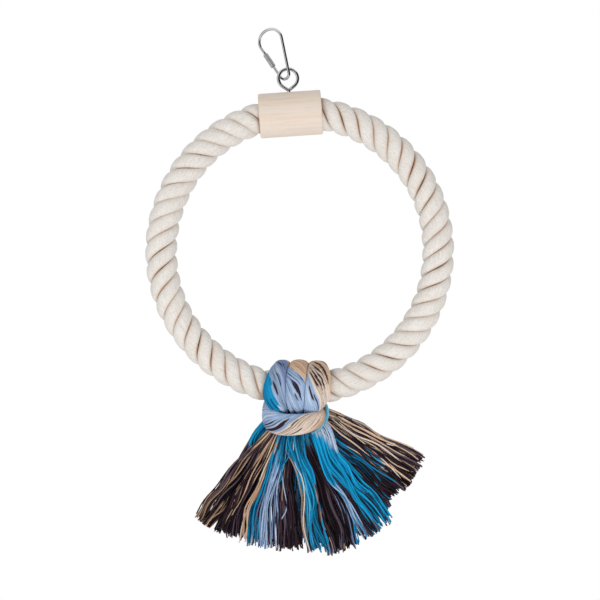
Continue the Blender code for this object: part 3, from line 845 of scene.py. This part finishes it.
# line: x and z in the knot's frame, half width and y, in millimetres. trim: how much longer the yarns are, and
# the slope of that across the lock, from -1 to 1. Dyes with weights: mix up to each limit across; root and tip
# with the share of the length where they stop or start, how much that varies and how many yarns take them;
# cap, over the root, with its share, its slant and where across it begins
locks = dict(
    lockTanLeft=dict(
        yarns=84, trim=(0.04, 0.01),
        line=[(-11, -20, 2.4, -5), (-17.5, -29.5, 3, -6.5), (-26.5, -40, 4.2, -7), (-36, -53, 5.2, -7),
              (-46, -67, 6, -6.5), (-54, -77.5, 6.2, -6), (-60.3, -86.8, 6, -5)],
        mix=[(-0.6, "umber 7 smoke 4 bronze 2"), (0.2, "umber 8 ink 2 smoke 4 bronze 2"),
             (1.1, "umber 8 ink 2 bronze 2")],
        root=("bronze 5 tan 2 umber 2", 0.3, 0.08, 0.8), tip=("bronze 6 umber 4", 0.76, 0.07, 0.8),
    ),
    lockBrownLeft=dict(
        yarns=108, trim=(-0.008, 0),
        line=[(-9.5, -20, 2.5, -6), (-14.6, -30.8, 3.2, -8), (-21.6, -44.4, 5.2, -8.5), (-30, -61.8, 7, -8),
              (-37, -78.1, 8.4, -7), (-42.5, -96.8, 9.8, -5.5)],
        mix=[(-0.5, "umber 6 ink 2 smoke 3 bronze 1"), (-0.2, "bronze 3 umber 5"),
             (0.45, "umber 7 ink 4 smoke 3 bronze 1"), (0.8, "umber 7 bronze 2"), (0.92, "bronze 2 umber 5"),
             (1.1, "teal 5 deepTeal 2 umber 2")],
        root=("bronze 5 tan 4 umber 2", 0.35, 0.1, 0.9), tip=("umber 3 ink 1", 0.75, 0.1, 0.2),
    ),
    lockBlueLeft=dict(
        yarns=108,
        line=[(-7, -20, 2.6, -6), (-9.6, -31.2, 3.4, -7.8), (-12.8, -46.3, 4.6, -7.8),
              (-16.4, -62.6, 6.2, -7.2), (-19.4, -80.9, 7.8, -6.5), (-21, -102.8, 9.8, -5.5)],
        mix=[(-0.45, "teal 7 deepTeal 2 umber 2"), (0.75, "lavender 6 slate 6 umber 4 deepTeal 1"),
             (1.1, "slate 3 umber 5")],
        root=("teal 6 cyan 1 deepTeal 2", 0.42, 0.05, 0.98), tip=("frost 1", 0.86, 0.08, 0.16),
    ),
    lockBrownMiddle=dict(
        yarns=104,
        line=[(-4, -20, 3, -5), (-5.6, -32.2, 3.8, -6), (-6.6, -48.4, 4.8, -6.2), (-6.6, -65.6, 5.8, -6),
              (-5.6, -84.9, 7, -5.5), (-3.6, -104, 8.4, -5)],
        mix=[(-0.7, "umber 6 slate 3 teal 1"), (1.1, "umber 7 ink 5 smoke 7 bronze 1")],
        root=("teal 5 azure 2 deepTeal 2", 0.28, 0.06, 0.92), tip=("umber 3 smoke 1", 0.7, 0.1, 0.5),
    ),
    lockTealMiddle=dict(
        yarns=108, trim=(-0.005, 0.02), uneven=0.22,
        line=[(-1.5, -20, 5.4, -6), (-2.2, -31.1, 6.6, -8), (1.2, -43.9, 4.9, -9.4), (6, -55, 5.4, -9.2),
              (9.2, -67.9, 4.6, -8.6), (9.8, -79.2, 4.8, -8), (11.7, -91, 5.4, -7), (16, -105.8, 6.4, -6)],
        mix=[(-0.95, "tan 1 bronze 2"), (0.65, "teal 7 azure 4 cyan 2 deepTeal 3"), (1.1, "teal 5 umber 4")],
        root=("teal 8 cyan 2 deepTeal 2", 0.28, 0.05, 0.96), tip=("umber 1", 0.82, 0.1, 0.25),
    ),
    lockBrownRight=dict(
        yarns=124, trim=(-0.022, -0.018),
        line=[(4, -20, 3, -5), (6.2, -31, 3.8, -6.6), (10.6, -45.8, 5, -6.8), (17.2, -61.8, 6.6, -6.6),
              (23.6, -78.9, 8.4, -6.2), (28.4, -92.8, 9.6, -5.6), (31.2, -106, 10.2, -5)],
        mix=[(-0.8, "umber 5 teal 2 bronze 1"), (0.65, "umber 7 ink 8 smoke 5 bronze 1"),
             (0.85, "slate 3 lavender 1 umber 7"), (1.1, "umber 4 ink 2 teal 2")],
        root=("teal 6 cyan 2 deepTeal 2", 0.22, 0.03, 0.94), tip=("slate 2 smoke 1", 0.78, 0.1, 0.14),
    ),
    lockTealRight=dict(
        yarns=132, trim=(0.012, -0.022), uneven=0.16,
        line=[(11, -20, 4.6, -6), (16.2, -27.4, 6.7, -9.4), (21, -42, 6.6, -10.6), (27.9, -52.4, 8, -10.4),
              (35.6, -62.4, 8, -9.8), (43.8, -73, 8.8, -8.4), (55, -89.8, 9.8, -6)],
        mix=[(-0.8, "lavender 4 slate 2 umber 3"), (-0.25, "umber 5 teal 4 deepTeal 1"),
             (1.1, "teal 7 azure 11 deepTeal 1 umber 4")],
        cap=("lavender 2 frost 1", 0.215, 0.12, -0.9), root=("teal 4 azure 15", 0.58, 0.07, 0.98),
        tip=("umber 3 smoke 1", 0.8, 0.1, 0.3),
    ),
    sideLockBrown=dict(
        yarns=164, trim=(-0.005, 0.035),
        line=[(8, -16, 3.6, -3), (15.6, -22.4, 4.6, -6.5), (26, -32.2, 5.8, -7.5), (40, -43, 7.6, -3.5),
              (54.6, -54.8, 9.6, 0), (69, -66.6, 12, 1)],
        mix=[(0.1, "umber 6 deepTeal 4 teal 3 ink 1 smoke 4"),
             (1.1, "umber 5 teal 2 deepTeal 4 tan 2 smoke 5")],
        root=("umber 4 ink 3 deepTeal 2", 0.34, 0.06, 0.7), tip=("umber 4 ink 1 smoke 1", 0.78, 0.1, 0.55),
    ),
    sideLockTan=dict(
        yarns=164, trim=(0.016, -0.03),
        line=[(9, -12.5, 3, 2), (18, -15.8, 4, 0), (30.2, -22.4, 5.4, -0.5), (44.2, -32.2, 6.8, 0.5),
              (60.8, -41.2, 9, 1.5), (78.6, -53, 11.6, 2)],
        mix=[(0.3, "umber 5 smoke 6 tan 2 sand 1"), (1.1, "umber 4 smoke 6 tan 2 sand 2")],
        root=("tan 9 sand 3 bronze 4 umber 4", 0.4, 0.09, 0.84), tip=("umber 5 ink 1 smoke 1", 0.84, 0.07, 0.6),
    ),
    backLockTealLeft=dict(
        yarns=84, uneven=0.2,
        line=[(-9, -10.5, 3.4, 9.5), (-17.6, -21.6, 3.4, 5), (-25, -31, 4.4, 0.5), (-28.4, -41, 5, 1.5),
              (-34.5, -56, 6.4, 4), (-42.5, -74, 7.4, 5), (-48.5, -87, 8, 5)],
        mix=[(1.1, "umber 7 ink 2 smoke 2 bronze 3")],
        root=("teal 6 azure 4 deepTeal 1", 0.44, 0.05, 0.98), tip=("umber 1", 0.75, 0.1, 0.4),
    ),
    backLockBrownLeft=dict(
        yarns=104,
        line=[(-5.5, -9.5, 3.8, 10), (-10, -25, 4.4, 8), (-15.5, -40, 5.6, 7), (-22.5, -60, 7.2, 6),
              (-29, -80, 8.6, 5.5), (-33.5, -97.5, 9.8, 5)],
        mix=[(1.1, "umber 7 smoke 2 bronze 2 teal 2")],
        root=("bronze 3 umber 1", 0.25, 0.08, 0.7), tip=("umber 1", 0.75, 0.1, 0.4),
    ),
    backLockTealMiddle=dict(
        yarns=104,
        line=[(-0.5, -9.5, 3.6, 10), (-1.6, -25, 4.6, 8), (-2.4, -44, 6, 7), (-2.6, -64, 7.6, 6),
              (-2, -84, 8.8, 5.5), (-1, -102, 10, 5)],
        mix=[(0.2, "teal 6 deepTeal 2 umber 3"), (1.1, "slate 3 teal 5 umber 3")],
        root=("lavender 4 slate 1", 0.24, 0.08, 0.7), tip=("umber 1", 0.8, 0.1, 0.3),
    ),
    backLockBrownRight=dict(
        yarns=110,
        line=[(5, -9.5, 3.6, 10), (6.2, -25, 4.6, 8), (9.2, -43.7, 6, 7), (14.6, -63, 7.6, 6),
              (20.8, -83, 8.8, 5.5), (25.6, -102.8, 10, 5)],
        mix=[(1.1, "umber 7 ink 2 smoke 2 bronze 1 teal 2")],
        root=("bronze 3 umber 1", 0.22, 0.08, 0.6), tip=("umber 1", 0.75, 0.1, 0.4),
    ),
    backLockBlueRight=dict(
        yarns=124, trim=(-0.01, -0.03),
        line=[(10, -10.5, 4, 9.5), (14, -24, 5, 7.5), (22, -38.6, 7, 6.5), (32.4, -54.6, 9.4, 6),
              (43, -72, 11.4, 5.5), (53, -88.4, 13, 5)],
        mix=[(0, "slate 3 umber 5 ink 1"), (1.1, "umber 6 slate 2 teal 3")],
        root=("lavender 5 slate 2", 0.34, 0.08, 0.9), tip=("umber 3 smoke 1", 0.7, 0.1, 0.5),
    ),
)


# one dye for each of a number of yarns, drawn by weight from a row of names and weights
def pickDyes(recipe, count):
    words = recipe.split()
    odds = np.array(words[1::2], float)
    picked = draw.choice(len(odds), size=count, p=odds / odds.sum())
    return np.array([dyes[name] for name in words[::2]])[picked]


# dye along each yarn: its own, a root dye before one share, a tip dye after another and the cap over them,
# times its own brightness and slow waves
def yarnDye(lock, across, share):
    count = len(across)
    own = np.zeros((count, 3))
    lowest = -9.0
    for limit, recipe in lock["mix"]:
        here = (across >= lowest) & (across < limit)
        own[here] = pickDyes(recipe, here.sum())
        lowest = limit
    colour = np.repeat(own[:, None], share.shape[1], axis=1)
    for (recipe, at, jitter, chance), sign in ((lock["root"], -1), (lock["tip"], 1)):
        edge = at + draw.normal(0, jitter, (count, 1))
        taken = draw.random(count) < chance
        amount = (ease((share - edge) * sign / 0.04 + 0.5) * taken[:, None])[..., None]
        colour = colour * (1 - amount) + pickDyes(recipe, count)[:, None] * amount
    if "cap" in lock:
        recipe, at, slant, lowest = lock["cap"]
        edge = (at + slant * across + draw.normal(0, 0.006, count))[:, None]
        amount = (ease((edge - share) / 0.015 + 0.5) * (across > lowest)[:, None])[..., None]
        colour = colour * (1 - amount) + pickDyes(recipe, count)[:, None] * amount
    slow = np.sin(share * draw.uniform(4.0, 14.0, (count, 1)) + draw.uniform(0, fullTurn, (count, 1)))
    bright = np.exp(draw.normal(0, lock.get("uneven", 0.32), (count, 1))).clip(0.5, 1.6)
    return colour * np.minimum(bright * (1 + 0.12 * slow), brightest / colour.max(axis=-1))[..., None]


# round yarns along paths in the knot's frame
def makeYarns(name, paths, radii, dye, slot, *nodes):
    paths = fromKnot(paths)
    bars = roundBars(paths, radii, tassel["sides"], axisY)
    dye = np.repeat(dye[:, :, None], tassel["sides"], axis=2)
    piece = barMesh(name, bars, barUv(paths, tassel["sides"]), dye=dye)
    finishPiece(piece, looseYarn, slot, *nodes)
    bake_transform(piece)


# yarns side by side across a lock, drawn together in clumps: offset = half width * (place + drift) + waves:
# a crimp across the lock, slow ones of a clump and small ones of a yarn. Pale yarns lie on top
def makeLock(name, lock):
    count, stations = lock["yarns"], tassel["stations"]
    line = np.array(lock["line"])
    across = (np.arange(count) + draw.random(count)) / count * 2 - 1
    clump = np.arange(count) // tassel["clump"]
    clumps = clump[-1] + 1
    home = np.bincount(clump, across) / np.bincount(clump)
    deep = 0.7 * draw.uniform(-1.0, 1.0, clumps)[clump] + 0.5 * draw.uniform(-1.0, 1.0, count)
    level, slope = lock.get("trim", (0, 0))
    ragged = draw.normal(0, 0.009, clumps)[clump] + draw.normal(0, 0.014, count)
    longer = 1 + level + slope * across + ragged
    share = np.linspace(0, 1, stations) * (tassel["reach"] * longer[:, None])
    middle = through(line[:, :2] * mm, share)
    run = unit(np.gradient(middle, axis=1))
    loose = ease(share * 1.6)
    drift = (draw.normal(0, 0.09, clumps)[clump] + draw.normal(0, 0.09, count))[:, None] * ease(share)
    pull = tassel["pull"] * loose
    place = across[:, None] * (1 - pull) + home[clump][:, None] * pull + drift
    waves = 0.0
    for (size, fewest, most, lag), group in zip(tassel["waves"], (0 * clump, clump, np.arange(count))):
        pace = draw.uniform(fewest, most, (2, group[-1] + 1, 1))[:, group]
        turn = draw.uniform(0, fullTurn, (2, group[-1] + 1, 1))[:, group] + lag * across[:, None]
        waves = waves + size * np.sin(2 * pi * pace * share + turn) * loose
    offset = through(line[:, 2], share) * mm * place + waves[0]
    x = middle[..., 0] - run[..., 1] * offset
    z = middle[..., 1] + run[..., 0] * offset
    y = (through(line[:, 3], share) + through(tassel["half"], share) * deep[:, None]) * mm + waves[1]
    radii = tassel["radius"] * draw.uniform(0.82, 1.14, count)[:, None] * (1 - 0.2 * ease((share - 0.93) * 14))
    dye = yarnDye(lock, across, share)
    pale = ease(dye[:, stations // 2 :].mean(axis=(1, 2)) / tassel["pale"] - 0.5)
    y = y - tassel["lift"] * pale[:, None] * ease(share * 3 - 0.3)
    node = nodeName(name)
    slot = node.split("lock_")[1].split("_")[0] + "_yarn"  # the colour after the word lock
    makeYarns(name, np.stack([x, y, z], axis=-1), radii, dye, slot, node)


for name, lock in locks.items():
    makeLock(name, lock)

# single yarns that have come out of their locks and lie over the front
strays = [
    ("teal", [(-2, -9, -24), (-4, -11.5, -36), (-5.7, -11.8, -43), (-9.1, -11.6, -49.6), (-9.6, -11.4, -56.1),
              (-12, -10.6, -61)]),
    ("lavender", [(-8, -7, -40), (-9.8, -8.8, -51), (-8.6, -10, -60), (-6.4, -10.6, -68), (-6.2, -10.2, -76),
                  (-9, -9, -83)]),
    ("sand", [(-12, -9, -30), (-17.6, -11.4, -44), (-24, -11.6, -60), (-31, -10.8, -76), (-34, -9.4, -88),
              (-36.4, -8.4, -99)]),
    ("sand", [(-2.6, -9, -30), (-1.8, -11, -44), (4, -12.6, -56), (5.2, -11.8, -70), (5.4, -10.8, -86),
              (9.6, -9.6, -104)]),
    ("teal", [(12, -9, -30), (17, -13, -46), (24, -13.4, -60), (35, -12.6, -74), (39, -10.6, -86),
              (41.4, -9, -97)]),
    ("sand", [(20, -2, -17), (30, -4.4, -24), (44, -3.6, -34.6), (58, -2.6, -46), (66, -2.2, -55),
              (72, -2, -61)]),
    ("tan", [(20, -2, -16), (32, -4.2, -22), (46, -3.4, -29), (60, -2.6, -36.6), (70, -2.2, -42),
             (80, -2, -48)]),
    ("umber", [(8, -9, -30), (15, -11, -46), (20, -10, -62), (29, -9.6, -78), (33, -8.6, -92),
               (38.4, -7.6, -101)]),
]


# each stray follows its own few points, with a small wave
def makeStrays():
    share = np.linspace(0, 1, 26)
    paths = np.stack([through(np.array(points) * mm, share) for _, points in strays])
    pace, turn = draw.uniform(9.0, 16.0, (len(strays), 1)), draw.uniform(0, fullTurn, (len(strays), 1))
    paths[..., 0] += 0.0004 * np.sin(share * pace + turn)
    radii = np.full(paths.shape[:2], tassel["radius"] * 0.8)
    dye = np.broadcast_to(np.array([dyes[name] for name, _ in strays])[:, None], paths.shape)
    makeYarns("strayYarns", paths, radii, dye, "teal_yarn")


makeStrays()
print("tassel fanned:", sum(lock["yarns"] for lock in locks.values()) + len(strays), "yarns")


# Studio

studio = dict(
    aim=(0.0097, 0.0, -0.17515),
    distance=1.1,
    width=0.3896,  # of the ring's plane that the picture takes in
    roll=radians(3.9),
    ambient=0.68,
    lampAim=(0.0, 0.0, -0.18),
    pale=(0.92, 0.92, 0.92, 1),
    dark=(0.012, 0.012, 0.014, 1),
    grey=(0.16, 0.16, 0.17, 1),
)
# floor, and flags that only the metal mirrors: shade, and ends or place along X, Y and Z
cards = dict(
    floor=("pale", (-0.5, 0.5), (-0.3, 0.46), (-0.52,)),
    flagFront=("dark", (-0.6, 2.2), (-1.7,), (-1.7, 1.3)),
    flagSide=("dark", (1.9,), (-1.7, 0.6), (-1.7, 1.6)),
    flagLeft=("grey", (-1.9,), (0.5, -0.5), (-0.75, 1.3)),
    flagBack=("dark", (0.36, -0.36), (1.7,), (-0.8, 0.5)),
)


# looks along +Y, rolled as the photograph was, with a lens that takes in the width at the aim's distance
def makeCamera():
    data = bpy.data.cameras.new("camera")
    data.sensor_width = 36.0
    data.lens = data.sensor_width * studio["distance"] / studio["width"]
    camera = newObject("camera", data)
    c, s = cos(studio["roll"]), sin(studio["roll"])
    x, y, z = studio["aim"]
    back = y - studio["distance"]
    camera.matrix_world = Matrix(((c, s, 0, x), (0, 0, -1, back), (-s, c, 0, z), (0, 0, 0, 1)))
    scene.camera = camera


# white where the camera or a mirror looks at it, dimmer as light
def makeWorld():
    world = bpy.data.worlds.new("studio")
    scene.world = world
    world.use_nodes = True
    tree = world.node_tree
    white = (1, 1, 1, 1)
    seen = fill(tree, tree.nodes["Background"], {"Color": white, "Strength": 1.0})
    dim = add(tree, "Background", Color=white, Strength=studio["ambient"])
    path = add(tree, "LightPath")
    direct = sums(tree, "MAXIMUM", path.outputs["Is Camera Ray"], path.outputs["Is Glossy Ray"])
    direct = sums(tree, "MAXIMUM", direct, path.outputs["Is Transmission Ray"])
    mix = fill(tree, add(tree, "MixShader"), {0: direct, 1: dim.outputs[0], 2: seen.outputs[0]})
    fill(tree, tree.nodes["World Output"], {"Surface": mix.outputs[0]})


# round soft lamp that points at the object
def makeLamp(name, place, size, power):
    data = bpy.data.lights.new(name, "AREA")
    data.shape = "DISK"
    data.size = size
    data.energy = power
    lamp = newObject(name, data)
    lamp.location = place
    lamp.visible_glossy = False  # the metal mirrors the cards alone
    toward = Vector(studio["lampAim"]) - Vector(place)
    lamp.rotation_euler = toward.to_track_quat("-Z", "Y").to_euler()


# flat four-cornered card; neither the camera nor plain light sees a flag
def makeCard(name, shade, *spans):
    mesh = bpy.data.meshes.new(name)
    mesh.from_pydata(list(product(*spans)), [], [(0, 2, 3, 1)])
    card = newObject(name, mesh)
    material, tree, shader = newMaterial(name, 0.8)
    fill(tree, shader, {"Base Color": studio[shade]})
    mesh.materials.append(material)
    if name != "floor":
        card.visible_camera = card.visible_diffuse = card.visible_shadow = card.visible_transmission = False


makeCamera()
makeWorld()
for name, card in cards.items():
    makeCard(name, *card)
makeLamp("key", (0.15, -1.1, -0.95), 0.7, 7.0)
makeLamp("fill", (-0.9, -1.2, 0.35), 0.9, 3.0)
print("studio set")
